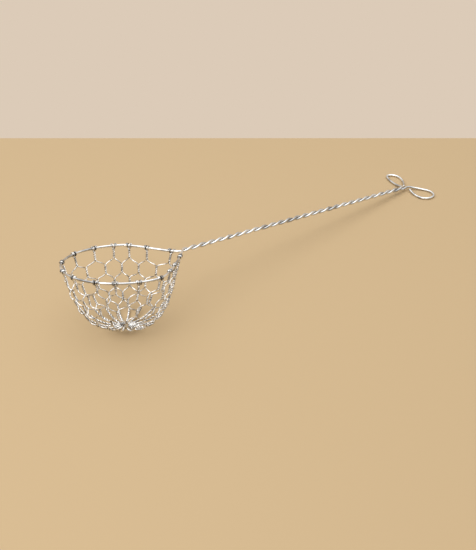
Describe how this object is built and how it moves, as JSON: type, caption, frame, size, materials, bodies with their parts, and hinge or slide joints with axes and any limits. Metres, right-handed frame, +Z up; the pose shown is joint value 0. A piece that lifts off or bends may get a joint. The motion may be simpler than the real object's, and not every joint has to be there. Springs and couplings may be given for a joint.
{
  "type": "fondue skimmer",
  "caption": "Hand-woven wire fondue skimmer: a deep bowl of hexagonal netting on a round rim, with a long twisted wire handle ending in splayed loops.",
  "frame": {"origin": "on the table, under the middle of the skimmer's length and width as it lies on its bowl and its end loops", "axes": "+X along the handle from the bowl to the loops, +Y to the left of the handle, +Z up"},
  "size_m": [0.3044, 0.0766, 0.0524],
  "materials": {
    "frame_wire": "bright tinned steel wire, lightly drawn",
    "net_wire": "bright tinned steel wire, fine, hand-twisted"
  },
  "bodies": {
    "root": {"frame_wire": "frame_wire", "net_wire_01": "net_wire", "net_wire_02": "net_wire", "net_wire_03": "net_wire", "net_wire_04": "net_wire", "net_wire_05": "net_wire", "net_wire_06": "net_wire", "net_wire_07": "net_wire", "net_wire_08": "net_wire", "net_wire_09": "net_wire", "net_wire_10": "net_wire", "net_wire_11": "net_wire", "net_wire_12": "net_wire", "net_wire_13": "net_wire", "net_wire_14": "net_wire", "net_wire_15": "net_wire", "net_wire_16": "net_wire", "base_ring": "net_wire"}
  },
  "joints": []
}
